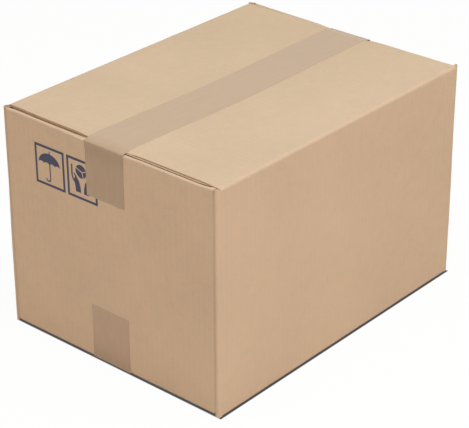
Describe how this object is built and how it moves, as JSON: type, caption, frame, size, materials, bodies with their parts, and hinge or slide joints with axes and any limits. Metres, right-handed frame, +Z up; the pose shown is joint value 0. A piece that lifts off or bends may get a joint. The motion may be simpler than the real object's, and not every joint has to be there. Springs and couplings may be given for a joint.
{
  "type": "corrugated shipping carton",
  "caption": "Closed kraft corrugated carton with overlapping end flaps, packing tape over its top and bottom seams, and two printed handling marks on one end.",
  "frame": {"origin": "middle of the base, at the underside of the bottom tape", "axes": "+X along the carton's length and its seams, +Z up through the top; the end wall with the printed marks faces -X"},
  "size_m": [0.3502, 0.26, 0.2251],
  "materials": {
    "kraft_board": "matt brown kraft liner",
    "packing_tape": "satin tan film"
  },
  "bodies": {
    "root": {"carton": "kraft_board", "top_tape": "packing_tape", "bottom_tape": "packing_tape"}
  },
  "joints": []
}
